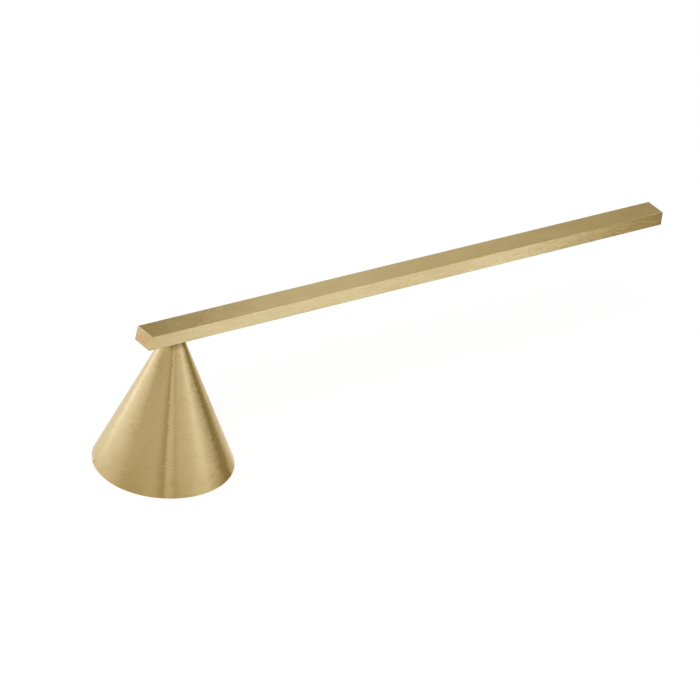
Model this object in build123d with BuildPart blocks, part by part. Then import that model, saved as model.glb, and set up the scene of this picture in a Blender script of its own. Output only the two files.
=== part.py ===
from build123d import *
import math
import os

# Candle snuffer: a hollow brass cone held under one end of a flat brass bar by a screw.
# Millimetres, +Z up, +X along the handle, origin at the centre of the cone's mouth.

# Handle: a cut length of flat bar stock
handle_length = 198.0
handle_width = 7.94
handle_height = 4.76
handle_overhang = 10.9  # from the cone's axis to the middle of the handle's near end
near_end_lean = 9.0  # degrees off upright: the saw cut leaves the underside longest
near_end_skew = 3.0  # degrees off square: and leaves the back longer than the front
handle_edge_radius = 0.2
handle_skin = 0.6  # metal left between the drill's point and the top face

# Cone: turned from solid, hollow from its mouth up to a thick crown
mouth_diameter = 45.0
crown_diameter = 6.6
cone_height = 44.5
cone_wall = 1.2  # measured square to the slope
crown_thickness = 4.2
seat_fillet = 0.4
rim_break = 0.15

# Fixing screw: slotted cheese head, driven up from inside the cone
screw_diameter = 3.0
head_diameter = 5.5
head_height = 2.0
head_edge_radius = 0.35
slot_width = 0.8
slot_depth = 0.85
slot_angle = 25.0  # degrees from +X, where the driver left it
tip_chamfer = 0.4

# Lock washer: a split spring ring, pressed flat under the screw's head
washer_thickness = 0.8
washer_margin = 0.35  # how far the ring stands out past the head
washer_edge_break = 0.1
split_gap = 0.5
split_slant = 30.0  # degrees off upright
split_angle = -50.0  # degrees from +X

# Fits, all measured on the radius unless they say otherwise
thread_clearance = 0.03
crown_hole_clearance = 0.2
washer_clearance = 0.1
hole_mouth_break = 0.25
tip_gap = 0.3  # along the axis, from the screw's tip to the end of the full bore
drill_point_angle = 118.0  # degrees
cut_overrun = 1.0

# Cone, worked out: its slope, and the wall where it is cut level
mouth_radius = mouth_diameter / 2
crown_radius = crown_diameter / 2
cone_slope = (mouth_radius - crown_radius) / cone_height
level_wall = cone_wall * math.hypot(1, cone_slope)
mouth_inner_radius = mouth_radius - level_wall
seat_z = cone_height - crown_thickness
seat_radius = crown_radius + cone_slope * crown_thickness - level_wall

# Handle, worked out: its mid-height, and how far the slanting cut reaches past its near end
handle_middle_z = cone_height + handle_height / 2
lean_reach = handle_height / 2 * math.tan(math.radians(near_end_lean))
skew_reach = handle_width / 2 * math.tan(math.radians(near_end_skew))
near_end_spread = lean_reach + skew_reach

# Screwed joint, worked out from the seat in the crown up to the blind hole in the handle
screw_radius = screw_diameter / 2
head_radius = head_diameter / 2
crown_hole_radius = screw_radius + crown_hole_clearance
tapped_radius = screw_radius + thread_clearance
drill_point_height = tapped_radius / math.tan(math.radians(drill_point_angle / 2))
tapped_point_z = cone_height + handle_height - handle_skin
tapped_end_z = tapped_point_z - drill_point_height
under_head_z = seat_z - washer_thickness
head_bottom_z = under_head_z - head_height
screw_tip_z = tapped_end_z - tip_gap
washer_outer_radius = head_radius + washer_margin
washer_inner_radius = screw_radius + washer_clearance
split_lean = washer_thickness / 2 * math.tan(math.radians(split_slant))


# Handle bar: sawn to length, all edges broken, drilled and tapped blind from below
near_cut = Plane((-handle_overhang, 0, handle_middle_z), x_dir=(0, 1, 0), z_dir=(1, 0, 0))
with BuildPart() as handle_bar:
    with BuildSketch(Plane.YZ.offset(handle_length - handle_overhang)) as bar_section:
        with Locations((0, handle_middle_z)):
            Rectangle(handle_width, handle_height)
    extrude(amount=-(handle_length + near_end_spread + cut_overrun))
    split(bisect_by=near_cut.rotated((0, near_end_lean, near_end_skew)), keep=Keep.TOP)
    fillet(handle_bar.edges(), handle_edge_radius)
    with BuildSketch(Plane.XZ) as drilling:
        with BuildLine():
            Polyline(
                (0, cone_height),
                (tapped_radius + hole_mouth_break, cone_height),
                (tapped_radius, cone_height + hole_mouth_break),
                (tapped_radius, tapped_end_z),
                (0, tapped_point_z),
                close=True,
            )
        make_face()
    revolve(axis=Axis.Z, mode=Mode.SUBTRACT)
handle_bar.part.label = "handle_bar"

# Snuffer cone: even wall, flat crown that carries the handle, flat seat inside it
with BuildPart() as snuffer_cone:
    with BuildSketch(Plane.XZ) as cone_section:
        with BuildLine():
            Polyline(
                (mouth_radius, 0),
                (crown_radius, cone_height),
                (crown_hole_radius, cone_height),
                (crown_hole_radius, seat_z),
                (seat_radius, seat_z),
                (mouth_inner_radius, 0),
                close=True,
            )
        make_face()
    revolve(axis=Axis.Z)
    rim_edges, seat_edges, crown_edges = (
        snuffer_cone.edges().filter_by(GeomType.CIRCLE).group_by(Axis.Z)
    )
    chamfer(rim_edges, rim_break)
    fillet(seat_edges.sort_by(SortBy.RADIUS)[-1], seat_fillet)
snuffer_cone.part.label = "snuffer_cone"

# Lock washer: flat ring with a slanting split
with BuildPart() as lock_washer:
    with BuildSketch(Plane.XY.offset(under_head_z)) as ring_section:
        Circle(washer_outer_radius)
        Circle(washer_inner_radius, mode=Mode.SUBTRACT)
    extrude(amount=washer_thickness)
    chamfer(lock_washer.edges().filter_by(GeomType.CIRCLE), washer_edge_break)
    with BuildSketch(Plane.YZ.rotated((0, 0, split_angle))) as split_section:
        with BuildLine():
            Polyline(
                (-split_gap / 2 - split_lean, under_head_z),
                (split_gap / 2 - split_lean, under_head_z),
                (split_gap / 2 + split_lean, seat_z),
                (-split_gap / 2 + split_lean, seat_z),
                close=True,
            )
        make_face()
    extrude(amount=washer_outer_radius + cut_overrun, mode=Mode.SUBTRACT)
lock_washer.part.label = "lock_washer"

# Fixing screw: head down in the cone, shank up through washer and crown into the handle
with BuildPart() as fixing_screw:
    with BuildSketch(Plane.XZ) as screw_section:
        with BuildLine():
            Polyline(
                (0, head_bottom_z),
                (head_radius, head_bottom_z),
                (head_radius, under_head_z),
                (screw_radius, under_head_z),
                (screw_radius, screw_tip_z - tip_chamfer),
                (screw_radius - tip_chamfer, screw_tip_z),
                (0, screw_tip_z),
                close=True,
            )
        make_face()
    revolve(axis=Axis.Z)
    fillet(fixing_screw.edges().filter_by(GeomType.CIRCLE).sort_by(Axis.Z)[0], head_edge_radius)
    with BuildSketch(Plane.XY.offset(head_bottom_z).rotated((0, 0, slot_angle))) as slot_section:
        Rectangle(head_diameter + cut_overrun, slot_width)
    extrude(amount=slot_depth, mode=Mode.SUBTRACT)
fixing_screw.part.label = "fixing_screw"

os.makedirs("parts", exist_ok=True)
for piece in (handle_bar, snuffer_cone, lock_washer, fixing_screw):
    export_step(piece.part, f"parts/{piece.part.label}.step")
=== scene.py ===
import math

import bmesh
import bpy
from mathutils import Matrix, Vector


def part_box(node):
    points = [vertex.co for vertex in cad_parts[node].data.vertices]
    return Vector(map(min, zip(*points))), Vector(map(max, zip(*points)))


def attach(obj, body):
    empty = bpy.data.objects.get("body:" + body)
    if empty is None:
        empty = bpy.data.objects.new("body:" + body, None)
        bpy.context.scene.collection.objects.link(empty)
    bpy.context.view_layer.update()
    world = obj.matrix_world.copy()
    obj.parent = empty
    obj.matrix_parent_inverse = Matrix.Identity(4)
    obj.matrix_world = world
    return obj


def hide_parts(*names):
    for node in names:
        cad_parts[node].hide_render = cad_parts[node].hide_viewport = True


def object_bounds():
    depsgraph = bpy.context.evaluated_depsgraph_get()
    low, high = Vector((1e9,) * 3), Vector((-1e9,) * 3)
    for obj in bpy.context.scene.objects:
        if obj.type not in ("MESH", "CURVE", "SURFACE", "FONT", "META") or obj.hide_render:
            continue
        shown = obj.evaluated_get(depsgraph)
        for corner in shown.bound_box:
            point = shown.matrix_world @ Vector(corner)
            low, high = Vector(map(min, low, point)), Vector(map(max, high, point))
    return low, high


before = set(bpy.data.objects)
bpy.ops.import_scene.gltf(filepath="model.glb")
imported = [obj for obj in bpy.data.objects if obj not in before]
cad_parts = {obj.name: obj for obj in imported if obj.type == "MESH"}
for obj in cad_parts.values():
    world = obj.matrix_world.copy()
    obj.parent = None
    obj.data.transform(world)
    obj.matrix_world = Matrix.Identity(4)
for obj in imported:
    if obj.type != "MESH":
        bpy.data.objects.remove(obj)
cad_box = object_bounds()

MM = 0.001

# Places that the frame gives
bar_low, bar_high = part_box("handle_bar")
cone_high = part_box("snuffer_cone")[1]
washer_low, washer_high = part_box("lock_washer")
screw_low, screw_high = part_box("fixing_screw")

# Bar: flat stock with a slanting saw cut at its near end, broken edges and a blind tapped hole
BAR_OVERHANG = 10.9 * MM  # from the cone's axis to the middle of the near end
NEAR_END_LEAN = math.radians(9)
NEAR_END_SKEW = math.radians(3)
BAR_EDGE_RADIUS = 0.2 * MM
BAR_EDGE_STEPS = 4
BAR_EDGE_PROFILE = 0.5  # a round edge
BAR_FLATS = 6  # its largest faces: all others are on the broken edges
TAPPED_RADIUS = 1.53 * MM
TAPPED_MOUTH_BREAK = 0.25 * MM
BAR_SKIN = 0.6 * MM
DRILL_POINT_ANGLE = math.radians(118)
DRILL_SEGMENTS = 48

# Cone: even wall, thick crown, flat seat inside
MOUTH_RADIUS = 22.5 * MM
CROWN_RADIUS = 3.3 * MM
CONE_WALL = 1.2 * MM
CROWN_THICKNESS = 4.2 * MM
CROWN_HOLE_RADIUS = 1.7 * MM
SEAT_FILLET = 0.4 * MM
SEAT_FILLET_STEPS = 6
RIM_BREAK = 0.15 * MM
CONE_SEGMENTS = 192
CONE_ROW = 2.5 * MM

# Screw and lock washer
SCREW_RADIUS = 1.5 * MM
SCREW_SEGMENTS = 48
THREAD_PITCH = 0.5 * MM
THREAD_DEPTH = 0.27 * MM
THREAD_ROWS = 8  # to each turn of the thread
TOOTH_STEEPNESS = 1.6
TOOTH_FOOT = 0.3  # how much of a tooth's rise is cut off at its foot, which leaves a flat root
TIP_CHAMFER = 0.4 * MM
HEAD_EDGE_RADIUS = 0.35 * MM
HEAD_EDGE_STEPS = 5
SLOT_WIDTH = 0.8 * MM
SLOT_DEPTH = 0.85 * MM
SLOT_ANGLE = math.radians(25)
WASHER_HOLE_RADIUS = 1.6 * MM
WASHER_EDGE_BREAK = 0.1 * MM
WASHER_STEPS = 72
SPLIT_GAP = 0.5 * MM
SPLIT_SLANT = math.radians(30)
SPLIT_ANGLE = math.radians(-50)

# Shading: an edge that turns by more than this stays sharp
SHARP_ANGLE = math.radians(30)
BAR_SHARP_ANGLE = math.radians(40)

# Photograph's view: the camera's turn about the object, its tilt, roll and lens
VIEW_AZIMUTH = math.radians(-36.622)
VIEW_ELEVATION = math.radians(30.597)
VIEW_ROLL = math.radians(6.390)
VIEW_DISTANCE = 1165.6 * MM
VIEW_TARGET = Vector((67.69, 0.0, 23.25)) * MM
FOCAL_SHARE = 5.2114  # focal length as a share of the picture's width
SENSOR_WIDTH = 36.0
CLIP_START = 0.01

# Metals, as linear colours
BAR_LIGHT = (0.91, 0.78, 0.47)
BAR_DARK = (0.80, 0.65, 0.36)
SIDE_LIGHT = (0.97, 0.84, 0.53)
SIDE_DARK = (0.76, 0.61, 0.33)
CONE_LIGHT = (0.88, 0.74, 0.46)
CONE_DARK = (0.83, 0.67, 0.38)
SAWN_LIGHT = (0.95, 0.74, 0.43)
SAWN_DARK = (0.74, 0.53, 0.27)
STEEL_LIGHT = (0.62, 0.62, 0.63)
STEEL_DARK = (0.50, 0.50, 0.51)
# Painted shade: the cone's colour darkens over this height towards its crown, where it meets the bar
SHADE_UNDER_BAR = (0.20, 0.13, 0.05)
SHADE_UNDER_BAR_SHARE = 0.8
SHADE_UNDER_BAR_HEIGHT = 2.4 * MM

# Brushing: scales of noise are its fineness along X, Y and Z, per metre
BAR_LINES = (120, 5000, 5000)
BAR_SCRATCHES = (700, 2600, 2600)
BAR_ROUGHNESS = (0.27, 0.35)
BAR_RIPPLE = 0.07 * MM
LINE_DETAIL = 3.0
LINE_DEPTH = 0.005 * MM
SCRATCH_DETAIL = 2.0
CLOUD_SCALE = (70, 160, 160)
CLOUD_DETAIL = 2.0
CLOUD_SHARE = 0.5  # how far clouds darken the colour
WORN_LEVELS = (0.2, 1.0)  # how strong scratches are where the metal is least and most worn
WORN_CLOUDS = (0.4, 0.6)  # the noise of the clouds there
NOISE_LOW = 0.3  # most noise lies between these two
NOISE_HIGH = 0.7
ACROSS = 0.25  # a quarter turn: gloss spreads across the U direction
ALONG = 0.0


def feed(tree, socket, value):
    """Gives a socket its value: a constant, or another node's output socket to link from."""
    if isinstance(value, bpy.types.NodeSocket):
        tree.links.new(value, socket)
    else:
        socket.default_value = value


def node(tree, kind, settings=None, **inputs):
    """Adds a node. An input's name has _ for a space, and its value is one that feed takes."""
    made = tree.nodes.new(kind)
    for name, value in (settings or {}).items():
        setattr(made, name, value)
    for name, value in inputs.items():
        feed(tree, made.inputs[name.replace("_", " ").title()], value)
    return made


def sums(tree, operation, *values):
    """A Math node's result, from constants or sockets in order."""
    made = node(tree, "ShaderNodeMath", {"operation": operation})
    for socket, value in zip(made.inputs, values):
        feed(tree, socket, value)
    return made.outputs[0]


def new_tree(name):
    """A material with an empty node tree."""
    material = bpy.data.materials.new(name)
    material.use_nodes = True
    material.node_tree.nodes.clear()
    return material, material.node_tree


def output(tree, shader, kind="ShaderNodeOutputMaterial"):
    """Ends a node tree with a shader."""
    node(tree, kind, Surface=shader)


def own_place(tree):
    """The place of a point in the object's own space."""
    return node(tree, "ShaderNodeTexCoord").outputs["Object"]


def noise(tree, scale, detail):
    """Noise in the object's own space."""
    drawn = node(tree, "ShaderNodeMapping", Vector=own_place(tree), Scale=scale).outputs["Vector"]
    return node(tree, "ShaderNodeTexNoise", Vector=drawn, Scale=1.0, Detail=detail).outputs["Fac"]


def spread(tree, value, low, high, from_low=NOISE_LOW, from_high=NOISE_HIGH):
    """A value stretched to run from low to high. Noise mostly lies between the two defaults."""
    made = node(
        tree,
        "ShaderNodeMapRange",
        Value=value,
        From_Min=from_low,
        From_Max=from_high,
        To_Min=low,
        To_Max=high,
    )
    return made.outputs["Result"]


def mixed(tree, share, first, second):
    """Mixes two colours, each a triple or a socket."""
    colours = []
    for colour in (first, second):
        colours.append(colour if isinstance(colour, bpy.types.NodeSocket) else (*colour, 1))
    made = node(tree, "ShaderNodeMixRGB", Fac=share, Color1=colours[0], Color2=colours[1])
    return made.outputs["Color"]


def leaning_normal(tree, along, lean):
    """The surface's normal, leaning along the brushing."""
    aside = node(tree, "ShaderNodeVectorMath", {"operation": "SCALE"}, Vector=along, Scale=lean)
    leaning = node(tree, "ShaderNodeVectorMath", {"operation": "ADD"}, Vector=aside.outputs["Vector"])
    feed(tree, leaning.inputs[1], node(tree, "ShaderNodeNewGeometry").outputs["Normal"])
    return leaning.outputs["Vector"]


def brushed(
    name,
    light,
    dark,
    lines,
    scratches,
    rough,
    turn=ACROSS,
    contrast=0.5,
    streaks=0.0,
    ripple=0.08 * MM,
    waver=0.0,
    grime=None,
):
    """Brushed metal: lines and scratches are scales of noise, drawn out along the brushing.

    rough gives the least and most roughness, and turn says whether gloss spreads across the U direction
    or along it. contrast is how far lines darken the light colour towards the dark one, and streaks how
    far scratches do. ripple is how deep scratches go, and waver how far the brushing leans to and fro
    from row to row. The last argument gives two heights, between which the colour darkens towards the
    upper one: painted shade where the cone meets the bar.
    """
    material, tree = new_tree(name)
    fine = noise(tree, lines, LINE_DETAIL)
    marks = noise(tree, scratches, SCRATCH_DETAIL)
    clouds = noise(tree, CLOUD_SCALE, CLOUD_DETAIL)
    colour = mixed(tree, spread(tree, clouds, 0.0, CLOUD_SHARE), light, dark)
    colour = mixed(tree, spread(tree, fine, 0.0, contrast), colour, dark)
    if streaks:
        colour = mixed(tree, spread(tree, marks, 0.0, streaks), colour, dark)
    # Painted shade: the colour darkens towards the upper of the two heights, where the cone meets the bar
    if grime:
        height = node(tree, "ShaderNodeSeparateXYZ", Vector=own_place(tree)).outputs["Z"]
        shaded = spread(tree, height, 0.0, SHADE_UNDER_BAR_SHARE, *grime)
        colour = mixed(tree, shaded, colour, SHADE_UNDER_BAR)
    worn = spread(tree, clouds, *WORN_LEVELS, *WORN_CLOUDS)
    depth = sums(tree, "MULTIPLY", sums(tree, "MULTIPLY", marks, worn), ripple)
    depth = sums(tree, "MULTIPLY_ADD", fine, LINE_DEPTH, depth)
    relief = node(tree, "ShaderNodeBump", Strength=1.0, Distance=1.0, Height=depth)
    tangent = node(tree, "ShaderNodeTangent", {"direction_type": "UV_MAP", "uv_map": "UVMap"})
    along = tangent.outputs["Tangent"]
    if waver:
        lean = sums(tree, "MULTIPLY", spread(tree, marks, -waver, waver), worn)
        feed(tree, relief.inputs["Normal"], leaning_normal(tree, along, lean))
    shader = node(
        tree,
        "ShaderNodeBsdfPrincipled",
        Base_Color=colour,
        Metallic=1.0,
        Roughness=spread(tree, fine, *rough),
        Anisotropic=1.0,
        Anisotropic_Rotation=turn,
        Tangent=along,
        Normal=relief.outputs["Normal"],
    )
    output(tree, shader.outputs["BSDF"])
    return material


bar_brass = brushed(
    "bar_brass",
    light=BAR_LIGHT,
    dark=BAR_DARK,
    lines=BAR_LINES,
    scratches=BAR_SCRATCHES,
    rough=BAR_ROUGHNESS,
    ripple=BAR_RIPPLE,
)
side_brass = brushed(
    "side_brass",
    light=SIDE_LIGHT,
    dark=SIDE_DARK,
    lines=BAR_LINES,
    scratches=BAR_SCRATCHES,
    rough=BAR_ROUGHNESS,
    streaks=0.75,
    ripple=BAR_RIPPLE,
    waver=0.04,
)
cone_brass = brushed(
    "cone_brass",
    light=CONE_LIGHT,
    dark=CONE_DARK,
    lines=(60, 60, 9000),
    scratches=(300, 300, 2800),
    rough=(0.26, 0.33),
    contrast=0.2,
    ripple=0.01 * MM,
    waver=0.07,
    # painted shade at the crown, under the bar
    grime=(cone_high.z - SHADE_UNDER_BAR_HEIGHT, cone_high.z),
)
turned_brass = brushed(
    "turned_brass",
    light=CONE_LIGHT,
    dark=CONE_DARK,
    lines=(40, 40, 5000),
    scratches=(80, 80, 1500),
    rough=(0.32, 0.42),
)
sawn_brass = brushed(
    "sawn_brass",
    light=SAWN_LIGHT,
    dark=SAWN_DARK,
    lines=(2500, 2500, 300),
    scratches=(900, 900, 300),
    rough=(0.35, 0.5),
    turn=ALONG,
    contrast=0.9,
)
edge_brass = brushed(
    "edge_brass",
    light=BAR_LIGHT,
    dark=BAR_DARK,
    lines=(60, 2000, 2000),
    scratches=(300, 900, 900),
    rough=(0.25, 0.35),
    ripple=0.02 * MM,
)
steel = brushed(
    "steel",
    light=STEEL_LIGHT,
    dark=STEEL_DARK,
    lines=(400, 400, 4000),
    scratches=(300, 300, 2000),
    rough=(0.25, 0.4),
    ripple=0.01 * MM,
)


def new_mesh(name, shape):
    """A mesh from a bmesh, which is freed."""
    mesh = bpy.data.meshes.new(name)
    shape.to_mesh(mesh)
    shape.free()
    return mesh


def finish_mesh(name, shape, sharp_angle=SHARP_ANGLE):
    """A smooth-shaded mesh from a bmesh, with edges kept sharp past an angle."""
    bmesh.ops.recalc_face_normals(shape, faces=shape.faces[:])
    mesh = new_mesh(name, shape)
    mesh.shade_smooth()
    mesh.set_sharp_from_angle(angle=sharp_angle)
    return mesh


def add_object(name, data):
    """An object in the scene, from a mesh, a lamp or a camera."""
    made = bpy.data.objects.new(name, data)
    bpy.context.scene.collection.objects.link(made)
    return made


def put_in_place(piece, cad_node):
    """Hides the CAD node that a piece stands for and hangs the piece on the root body."""
    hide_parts(cad_node)
    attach(piece, "root")


def cut_away(piece, cutter_mesh):
    """Takes a cutter's shape out of a piece and keeps the result as its mesh."""
    cutter = add_object("cutter", cutter_mesh)
    cut = piece.modifiers.new("cut", "BOOLEAN")
    cut.operation = "DIFFERENCE"
    cut.solver = "EXACT"
    cut.object = cutter
    bpy.context.view_layer.update()
    shape = piece.evaluated_get(bpy.context.evaluated_depsgraph_get())
    whole = bpy.data.meshes.new_from_object(shape)
    piece.modifiers.clear()
    piece.data = whole
    bpy.data.objects.remove(cutter)


def divided(points, longest):
    """A closed profile with its long runs cut into steps no longer than the given length."""
    out = []
    for start, end in zip(points, points[1:] + points[:1]):
        steps = max(1, math.ceil(math.dist(start, end) / longest))
        for step in range(steps):
            share = step / steps
            out.append(tuple(first + (last - first) * share for first, last in zip(start, end)))
    return out


def arc(centre, radius, start, end, steps):
    """Points of an arc in the profile plane, from one angle to another, in degrees."""
    points = []
    for step in range(steps + 1):
        turn = math.radians(start + (end - start) * step / steps)
        points.append((centre[0] + radius * math.cos(turn), centre[1] + radius * math.sin(turn)))
    return points


def revolved(name, profile, segments, closed=True, radius_at=None):
    """Turns a profile of (radius, height) points about Z. U runs round it and V along it, in metres.

    radius_at, where given, changes each point's radius by its height and its turn.
    """
    shape = bmesh.new()
    uv = shape.loops.layers.uv.new("UVMap")
    rings = []
    for radius, height in profile:
        if radius == 0:
            rings.append([shape.verts.new((0, 0, height))])
            continue
        ring = []
        for segment in range(segments):
            turn = 2 * math.pi * segment / segments
            out = radius_at(radius, height, turn) if radius_at else radius
            ring.append(shape.verts.new((out * math.cos(turn), out * math.sin(turn), height)))
        rings.append(ring)
    along = 0.0
    round_step = 2 * math.pi * max(radius for radius, height in profile) / segments
    following = list(range(1, len(profile))) + ([0] if closed else [])
    for here, there in enumerate(following):
        run = math.dist(profile[here], profile[there])
        for segment in range(segments):
            after = segment + 1
            corners = {}
            places = ((here, segment, 0), (here, after, 0), (there, after, run), (there, segment, run))
            for ring, step, place in places:
                corner = rings[ring][step % len(rings[ring])]
                corners.setdefault(corner, (round_step * step, along + place))
            face = shape.faces.new(list(corners))
            for loop in face.loops:
                loop[uv].uv = corners[loop.vert]
        along += run
    return finish_mesh(name, shape)


def make_bar():
    """The handle: flat bar with broken edges, sawn ends and a blind tapped hole underneath."""
    shape = bmesh.new()
    size = bar_high - bar_low
    middle = (bar_high + bar_low) / 2
    block = Matrix.Translation(middle) @ Matrix.Diagonal((*size, 1.0))
    bmesh.ops.create_cube(shape, size=1.0, matrix=block)
    for corner in shape.verts:
        if corner.co.x < middle.x:
            leaning = (corner.co.z - middle.z) * math.tan(NEAR_END_LEAN)
            skewed = corner.co.y * math.tan(NEAR_END_SKEW) / math.cos(NEAR_END_LEAN)
            corner.co.x = -BAR_OVERHANG + leaning - skewed
    bmesh.ops.bevel(
        shape,
        geom=shape.edges[:],
        offset=BAR_EDGE_RADIUS,
        segments=BAR_EDGE_STEPS,
        profile=BAR_EDGE_PROFILE,
        affect="EDGES",
    )
    uv = shape.loops.layers.uv.new("UVMap")
    materials = (bar_brass, side_brass, sawn_brass, edge_brass)
    face_slot, side_slot, end_slot, edge_slot = range(len(materials))
    flats = sorted(shape.faces, key=lambda face: face.calc_area())[-BAR_FLATS:]
    for face in shape.faces:
        across, side, rise = (abs(share) for share in face.normal)
        on_end = across > max(side, rise)
        face.material_index = edge_slot
        if face in flats:
            long_slot = face_slot if rise > side else side_slot
            face.material_index = end_slot if on_end else long_slot
        for loop in face.loops:
            x, y, z = loop.vert.co
            if on_end:
                loop[uv].uv = (y, z)
            else:
                loop[uv].uv = (x, y) if rise > side else (x, z)
    mesh = finish_mesh("handle_bar_brass", shape, BAR_SHARP_ANGLE)
    for face in mesh.polygons:
        face.use_smooth = face.material_index == edge_slot
    piece = add_object("handle_bar_brass", mesh)
    for material in materials:
        mesh.materials.append(material)
    point_z = bar_high.z - BAR_SKIN
    end_z = point_z - TAPPED_RADIUS / math.tan(DRILL_POINT_ANGLE / 2)
    below = bar_low.z - TAPPED_MOUTH_BREAK
    drill = [
        (0, below),
        (TAPPED_RADIUS + 2 * TAPPED_MOUTH_BREAK, below),
        (TAPPED_RADIUS, bar_low.z + TAPPED_MOUTH_BREAK),
        (TAPPED_RADIUS, end_z),
        (0, point_z),
    ]
    cut_away(piece, revolved("drill", drill, DRILL_SEGMENTS, closed=False))
    put_in_place(piece, "handle_bar")


def make_cone():
    """The snuffer: turned cone with an even wall, a thick crown and a flat seat inside."""
    height = cone_high.z
    slope = (MOUTH_RADIUS - CROWN_RADIUS) / height
    level_wall = CONE_WALL * math.hypot(1, slope)
    seat_z = height - CROWN_THICKNESS
    seat_radius = CROWN_RADIUS + slope * CROWN_THICKNESS - level_wall
    inner_mouth = MOUTH_RADIUS - level_wall
    lean = math.atan(slope)
    rise = RIM_BREAK * math.cos(lean)
    inward = RIM_BREAK * math.sin(lean)
    half_turn = (math.pi / 2 - lean) / 2
    reach = SEAT_FILLET * math.tan(half_turn)
    fillet_centre = (seat_radius - reach, seat_z - SEAT_FILLET)
    profile = [
        (MOUTH_RADIUS - RIM_BREAK, 0),
        (MOUTH_RADIUS - inward, rise),
        (CROWN_RADIUS, height),
        (CROWN_HOLE_RADIUS, height),
        (CROWN_HOLE_RADIUS, seat_z),
        *arc(fillet_centre, SEAT_FILLET, 90, math.degrees(lean), SEAT_FILLET_STEPS),
        (inner_mouth - inward, rise),
        (inner_mouth + RIM_BREAK, 0),
    ]
    mesh = revolved("snuffer_cone_brass", divided(profile, CONE_ROW), CONE_SEGMENTS)
    materials = (cone_brass, turned_brass)
    outer_slot, inner_slot = range(len(materials))
    for material in materials:
        mesh.materials.append(material)
    for face in mesh.polygons:
        out = math.hypot(face.center.x, face.center.y)
        mid_wall = MOUTH_RADIUS - slope * face.center.z - level_wall / 2
        inside = out < mid_wall and face.normal.z < 0
        face.material_index = inner_slot if inside else outer_slot
    put_in_place(add_object("snuffer_cone_brass", mesh), "snuffer_cone")


def make_washer():
    """The lock washer: a ring of square section with broken edges and a slanting split."""
    outer = washer_high.x
    mid_z = (washer_low.z + washer_high.z) / 2
    section = [
        (WASHER_HOLE_RADIUS + WASHER_EDGE_BREAK, washer_low.z),
        (outer - WASHER_EDGE_BREAK, washer_low.z),
        (outer, washer_low.z + WASHER_EDGE_BREAK),
        (outer, washer_high.z - WASHER_EDGE_BREAK),
        (outer - WASHER_EDGE_BREAK, washer_high.z),
        (WASHER_HOLE_RADIUS + WASHER_EDGE_BREAK, washer_high.z),
        (WASHER_HOLE_RADIUS, washer_high.z - WASHER_EDGE_BREAK),
        (WASHER_HOLE_RADIUS, washer_low.z + WASHER_EDGE_BREAK),
    ]
    shape = bmesh.new()
    uv = shape.loops.layers.uv.new("UVMap")
    rings = []
    for step in range(WASHER_STEPS + 1):
        ring = []
        for radius, z in section:
            lean = (z - mid_z) * math.tan(SPLIT_SLANT)
            first = math.asin((lean + SPLIT_GAP / 2) / radius)
            last = 2 * math.pi + math.asin((lean - SPLIT_GAP / 2) / radius)
            turn = SPLIT_ANGLE + first + (last - first) * step / WASHER_STEPS
            ring.append(shape.verts.new((radius * math.cos(turn), radius * math.sin(turn), z)))
        rings.append(ring)
    count = len(section)
    round_step = 2 * math.pi * outer / WASHER_STEPS
    for step in range(WASHER_STEPS):
        ring = rings[step]
        next_ring = rings[step + 1]
        for side in range(count):
            next_side = (side + 1) % count
            face = shape.faces.new((ring[side], next_ring[side], next_ring[next_side], ring[next_side]))
            places = ((step, side), (step + 1, side), (step + 1, side + 1), (step, side + 1))
            for loop, (steps, sides) in zip(face.loops, places):
                loop[uv].uv = (steps * round_step, sides * outer / count)
    shape.faces.new(rings[0])
    shape.faces.new(rings[-1])
    mesh = finish_mesh("lock_washer_steel", shape)
    mesh.materials.append(steel)
    put_in_place(add_object("lock_washer_steel", mesh), "lock_washer")


def make_screw():
    """The fixing screw: slotted cheese head and a shank with a helical thread."""
    head_radius = screw_high.x
    bottom = screw_low.z
    under_head = washer_low.z
    tip = screw_high.z
    root = SCREW_RADIUS - THREAD_DEPTH

    def threaded(radius, height, turn):
        """The shank's radius: a tooth once a pitch, run out at the head and chamfered at the tip."""
        if radius != root:
            return radius
        phase = (height / THREAD_PITCH - turn / (2 * math.pi)) % 1.0
        tooth = TOOTH_STEEPNESS * (1 - abs(2 * phase - 1)) - TOOTH_FOOT
        tooth = min(max(tooth, 0.0), 1.0)
        run_out = min((height - under_head) / THREAD_PITCH, 1.0)
        chamfer = SCREW_RADIUS - max(0.0, height - (tip - TIP_CHAMFER))
        return min(root + THREAD_DEPTH * tooth * run_out, chamfer)

    rows = math.ceil((tip - under_head) / THREAD_PITCH * THREAD_ROWS)
    edge_centre = (head_radius - HEAD_EDGE_RADIUS, bottom + HEAD_EDGE_RADIUS)
    profile = [
        (0, bottom),
        *arc(edge_centre, HEAD_EDGE_RADIUS, -90, 0, HEAD_EDGE_STEPS),
        (head_radius, under_head),
        *[(root, under_head + (tip - under_head) * row / rows) for row in range(rows + 1)],
        (0, tip),
    ]
    mesh = revolved("fixing_screw_steel", profile, SCREW_SEGMENTS, closed=False, radius_at=threaded)
    mesh.materials.append(steel)
    piece = add_object("fixing_screw_steel", mesh)
    slot = bmesh.new()
    size = (4 * head_radius, SLOT_WIDTH, 2 * SLOT_DEPTH)
    turn = Matrix.Rotation(SLOT_ANGLE, 4, "Z")
    block = Matrix.Translation((0, 0, bottom)) @ turn @ Matrix.Diagonal((*size, 1.0))
    bmesh.ops.create_cube(slot, size=1.0, matrix=block)
    cut_away(piece, finish_mesh("slot", slot))
    put_in_place(piece, "fixing_screw")


make_bar()
make_cone()
make_washer()
make_screw()


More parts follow.
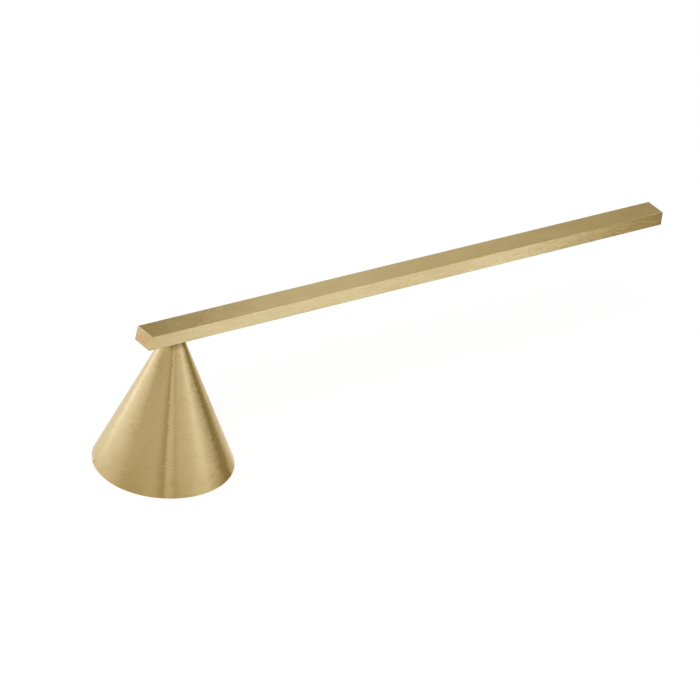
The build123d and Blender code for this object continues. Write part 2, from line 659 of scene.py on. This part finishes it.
# Stage: white paper under a white sky, and one soft lamp
WHITE = (1, 1, 1, 1)
PAPER = (0.9, 0.9, 0.9, 1)
WORLD_LIGHT = 0.85
FLOOR_GLOW = 0.75  # how far the floor shows as plain white, past the shadow on it
FLOOR_SIZE = 4.0
FLOOR_DROP = 0.02 * MM  # keeps the floor clear of the rim that stands on it
KEY_PLACE = Vector((-0.7, -0.9, 1.6))
KEY_SIZE = 1.2
KEY_POWER = 20.0


def blend_shaders(tree, share, first, second):
    """Mixes two shaders by a constant or a socket."""
    made = node(tree, "ShaderNodeMixShader")
    for socket, value in zip(made.inputs, (share, first, second)):
        feed(tree, socket, value)
    return made.outputs[0]


def see_white(tree, lit, shown):
    """Mixes two shaders: lit gives the light that falls on things.

    shown is what the camera, reflections and views through glass see.
    """
    path = node(tree, "ShaderNodeLightPath").outputs
    seen = sums(tree, "MAXIMUM", path["Is Camera Ray"], path["Is Glossy Ray"])
    seen = sums(tree, "MAXIMUM", seen, path["Is Transmission Ray"])
    return blend_shaders(tree, seen, lit, shown)


def make_world():
    """White sky that lights the object softly."""
    world = bpy.data.worlds.new("studio")
    bpy.context.scene.world = world
    world.use_nodes = True
    tree = world.node_tree
    tree.nodes.clear()
    soft = node(tree, "ShaderNodeBackground", Color=WHITE, Strength=WORLD_LIGHT).outputs[0]
    white = node(tree, "ShaderNodeBackground", Color=WHITE, Strength=1.0).outputs[0]
    output(tree, see_white(tree, soft, white), "ShaderNodeOutputWorld")


def make_floor():
    """White paper that takes a faint shadow. From below it is clear, which shows the underside."""
    material, tree = new_tree("floor_white")
    paper = node(tree, "ShaderNodeBsdfDiffuse", Color=PAPER).outputs[0]
    glow = node(tree, "ShaderNodeEmission", Color=WHITE, Strength=1.0).outputs[0]
    clear = node(tree, "ShaderNodeBsdfTransparent").outputs[0]
    from_below = node(tree, "ShaderNodeNewGeometry").outputs["Backfacing"]
    shown = see_white(tree, paper, blend_shaders(tree, FLOOR_GLOW, paper, glow))
    output(tree, blend_shaders(tree, from_below, shown, clear))
    shape = bmesh.new()
    bmesh.ops.create_grid(shape, x_segments=1, y_segments=1, size=FLOOR_SIZE)
    mesh = new_mesh("floor", shape)
    mesh.materials.append(material)
    floor = add_object("floor", mesh)
    floor.location.z = cad_box[0][2] - FLOOR_DROP


# Studio cards, which only reflections see. Upright ones curve round the cone's axis, others lie on the
# floor, and an arch stands over the bar. Turns are in degrees to the right of the camera. Levels run from
# 0, black, to 1, white paper, and a card past 1 is brighter than that.
CAMERA_TURN = math.radians(-123.4)  # the camera's direction, seen from the cone's axis
BEHIND_LEFT = -165  # a turn that several cards share, as they do the next
FRONT_LEFT = -60
CARD_DISTANCE = 0.60
CARD_HEIGHT = 1.2
CARD_SHORT = 0.25
CARD_STEP = 4.0  # degrees of a curved card to each flat strip
CARD_LIFT = 0.2 * MM
CARD_TINT = 1.0  # how brown dark cards are
ARCH_TINT = 0.75
TINT_CURVE = 1.25  # past 1, the brown fades sooner as a card gets lighter
TINT_GREEN = 0.36  # how much green and blue the brown takes away
TINT_BLUE = 1.1
LEAST_BLUE = 0.1
ARCH_RADIUS = 0.80
ARCH_ANGLES = range(0, 121, 10)  # degrees, up from level behind the bar and over it
RIM_CLEAR = 0.0226  # from the axis to just outside the cone's rim
NEAR_REACH = 0.055
FRONT_NEAR = 0.04
FRONT_FAR = 0.40
CURVED_CARDS = (  # name, turns of its two ends, levels there, height
    ("card_behind_left", BEHIND_LEFT, -128, 0.84, 0.84, CARD_HEIGHT),
    ("card_softbox", -128, -117, 1.6, 1.6, CARD_HEIGHT),
    ("card_left", -117, -66, 1.0, 0.45, CARD_HEIGHT),
    ("card_front_left", -66, -12, 0.34, 0.40, CARD_HEIGHT),
    ("card_camera", -12, 5.5, 0.48, 0.28, CARD_HEIGHT),
    ("card_front", 5.5, 19.5, 0.56, 0.56, CARD_HEIGHT),
    ("card_slit", 19.5, 25.5, 0.32, 0.32, CARD_HEIGHT),
    ("card_front_slope", 25.5, 45, 0.48, 0.57, CARD_HEIGHT),
    ("card_front_right", 45, 76, 0.57, 0.87, CARD_HEIGHT),
    ("card_right", 76, 108, 0.87, 0.22, CARD_HEIGHT),
    ("card_dark", 108, 134, 0.16, 0.16, CARD_SHORT),
)
FLOOR_CARDS = (  # name, then distance from the axis, turns of its two sides there, and level
    # a dark sheet on the floor under the bar: painted shadow of the bar, which reflections show
    (
        "card_under_bar",
        (
            (RIM_CLEAR, 52, 77, 0.27),
            (0.0245, 60, 82, 0.27),
            (0.032, 74, 97, 0.27),
            (0.043, 80, 108, 0.27),
            (0.06, 89, 116, 0.26),
            (0.095, 101, 124, 0.26),
            (0.18, 109, 129, 0.26),
            (0.3, 113, 130, 0.26),
            (CARD_DISTANCE, 115, 130, 0.26),
        ),
    ),
    (
        "card_floor_behind",
        (
            (RIM_CLEAR, 77, 89, 0.5),
            (0.0245, 82, 99, 0.5),
            (0.032, 97, 118, 0.5),
            (0.06, 116, 140, 0.49),
            (0.095, 124, 151, 0.48),
            (0.18, 129, 158, 0.47),
            (CARD_DISTANCE, 130, 160, 0.47),
        ),
    ),
    (
        "card_floor_left",
        (
            (0.0245, BEHIND_LEFT, -84, 0.82),
            (0.03, BEHIND_LEFT, -97, 0.82),
            (0.04, BEHIND_LEFT, -109, 0.85),
            (0.062, BEHIND_LEFT, -120, 0.87),
            (0.096, BEHIND_LEFT, -127, 0.9),
            (0.173, BEHIND_LEFT, -132, 0.95),
            (CARD_DISTANCE, BEHIND_LEFT, -133, 0.95),
        ),
    ),
    (
        "card_floor_front_left",
        (
            (RIM_CLEAR, -80, FRONT_LEFT, 0.5),
            (0.0245, -84, FRONT_LEFT, 0.5),
            (0.03, -97, FRONT_LEFT, 0.52),
            (0.04, -109, FRONT_LEFT, 0.55),
            (0.062, -119, FRONT_LEFT, 0.64),
            (0.096, -121, FRONT_LEFT, 0.82),
            (0.152, -120, FRONT_LEFT, 0.9),
            (CARD_DISTANCE, -121, FRONT_LEFT, 0.9),
        ),
    ),
)
FLOOR_FANS = (  # name, turns of its two sides, levels there, how far it reaches, height
    ("card_floor_camera", -14, 4.5, 0.8, 0.36, CARD_DISTANCE, CARD_LIFT),
    ("card_floor_near", FRONT_LEFT, 80, 0.6, 0.6, NEAR_REACH, CARD_LIFT / 2),
)
FRONT_LEVELS = (  # place along the bar whose front shows it, level
    (-0.04, 0.5),
    (0.0, 1.0),
    (0.03, 1.03),
    (0.06, 1.07),
    (0.085, 0.98),
    (0.11, 1.16),
    (0.13, 1.1),
    (0.145, 0.68),
    (0.16, 0.52),
    (0.17, 0.35),
    (0.18, 0.19),
    (0.19, 0.05),
    (0.5, 0.0),
)
ARCH_LEVELS = (  # place along the bar whose top shows it, level
    (-0.6, 1.0),
    (-0.3, 0.72),
    (-0.04, 0.3),
    (-0.002, 0.27),
    (0.014, 0.57),
    (0.035, 0.72),
    (0.06, 0.63),
    (0.085, 0.6),
    (0.11, 0.56),
    (0.13, 0.58),
    (0.145, 0.5),
    (0.16, 0.47),
    (0.17, 0.44),
    (0.185, 0.38),
    (0.3, 0.36),
)


def tan_grey(level, tint):
    """A card's colour: kraft brown when dark, white when light. tint says how brown."""
    depth = tint * max(0, 1 - level) ** TINT_CURVE
    green = 1 - TINT_GREEN * depth
    blue = max(LEAST_BLUE, 1 - TINT_BLUE * depth)
    return (level, level * green, level * blue, 1)


def make_card_material():
    """Paper that glows in the tone of each corner of a card."""
    material, tree = new_tree("studio_card")
    tone = node(tree, "ShaderNodeVertexColor", {"layer_name": "tone"}).outputs["Color"]
    output(tree, node(tree, "ShaderNodeEmission", Color=tone, Strength=1.0).outputs[0])
    return material


card_material = make_card_material()


def make_card(name, rails, levels, tint=CARD_TINT):
    """A studio card. rails are rows of points across it, and levels say how light each row is."""
    shape = bmesh.new()
    tone = shape.verts.layers.float_color.new("tone")
    rows = []
    for points, level in zip(rails, levels):
        row = [shape.verts.new(point) for point in points]
        for corner in row:
            corner[tone] = tan_grey(level, tint)
        rows.append(row)
    for row, following in zip(rows, rows[1:]):
        for corners in zip(row, following, following[1:], row[1:]):
            shape.faces.new(corners)
    mesh = new_mesh(name, shape)
    mesh.materials.append(card_material)
    card = add_object(name, mesh)
    for kind in ("visible_camera", "visible_diffuse", "visible_shadow", "visible_transmission"):
        setattr(card, kind, False)


def around(turn, distance, height=CARD_LIFT):
    """A point about the cone's axis."""
    turn = CAMERA_TURN + math.radians(turn)
    return (distance * math.cos(turn), distance * math.sin(turn), height)


def make_swept_card(name, start, end, start_level, end_level, near, far):
    """A card swept round the cone's axis. near and far are its edges, each a distance and a height."""
    steps = max(1, round((end - start) / CARD_STEP))
    rails = []
    levels = []
    for step in range(steps + 1):
        turn = start + (end - start) * step / steps
        rails.append((around(turn, *near), around(turn, *far)))
        levels.append(start_level + (end_level - start_level) * step / steps)
    make_card(name, rails, levels)


def make_front_card(camera_place):
    """The card on the floor that the photograph's camera sees in the bar's front."""
    rails = []
    for at, level in FRONT_LEVELS:
        slant = (at - camera_place.x) / -camera_place.y
        rails.append([(at + far * slant, -far, CARD_LIFT) for far in (FRONT_NEAR, FRONT_FAR)])
    make_card("card_floor_front", rails, [level for at, level in FRONT_LEVELS])


def make_arch(camera_place):
    """The card over the bar that the photograph's camera sees in the bar's top."""
    turns = [math.radians(angle) for angle in ARCH_ANGLES]
    widening = ARCH_RADIUS / math.hypot(camera_place.y, camera_place.z - bar_high.z)
    rails = []
    for at, level in ARCH_LEVELS:
        x = at + (at - camera_place.x) * widening
        rail = []
        for turn in turns:
            rail.append((x, ARCH_RADIUS * math.cos(turn), bar_high.z + ARCH_RADIUS * math.sin(turn)))
        rails.append(rail)
    make_card("card_arch", rails, [level for at, level in ARCH_LEVELS], ARCH_TINT)


def make_studio(camera_place):
    """All the cards."""
    for *card, height in CURVED_CARDS:
        make_swept_card(*card, (CARD_DISTANCE, 0), (CARD_DISTANCE, height))
    for *card, reach, height in FLOOR_FANS:
        make_swept_card(*card, (RIM_CLEAR, height), (reach, height))
    for name, places in FLOOR_CARDS:
        rails = []
        for distance, start, end, level in places:
            rails.append((around(start, distance), around(end, distance)))
        make_card(name, rails, [level for *place, level in places])
    make_front_card(camera_place)
    make_arch(camera_place)


def make_lamp():
    """A soft round lamp that reflections don't show."""
    data = bpy.data.lights.new("key", "AREA")
    data.shape = "DISK"
    data.size = KEY_SIZE
    data.energy = KEY_POWER
    lamp = add_object("key", data)
    lamp.location = KEY_PLACE
    lamp.rotation_euler = (VIEW_TARGET - KEY_PLACE).to_track_quat("-Z", "Y").to_euler()
    lamp.visible_glossy = False


def make_camera():
    """The photograph's camera. Gives back its place."""
    back = Vector((
        math.sin(VIEW_AZIMUTH) * math.cos(VIEW_ELEVATION),
        -math.cos(VIEW_AZIMUTH) * math.cos(VIEW_ELEVATION),
        math.sin(VIEW_ELEVATION),
    ))
    level = Vector((math.cos(VIEW_AZIMUTH), math.sin(VIEW_AZIMUTH), 0))
    upright = back.cross(level)
    right = level * math.cos(VIEW_ROLL) + upright * math.sin(VIEW_ROLL)
    up = upright * math.cos(VIEW_ROLL) - level * math.sin(VIEW_ROLL)
    data = bpy.data.cameras.new("camera")
    data.sensor_width = SENSOR_WIDTH
    data.lens = FOCAL_SHARE * SENSOR_WIDTH
    data.clip_start = CLIP_START
    camera = add_object("camera", data)
    turn = Matrix((right, up, back)).transposed().to_4x4()
    place = VIEW_TARGET + back * VIEW_DISTANCE
    camera.matrix_world = Matrix.Translation(place) @ turn
    bpy.context.scene.camera = camera
    return place


make_world()
make_floor()
make_studio(make_camera())
make_lamp()
bpy.context.scene.view_settings.view_transform = "Standard"
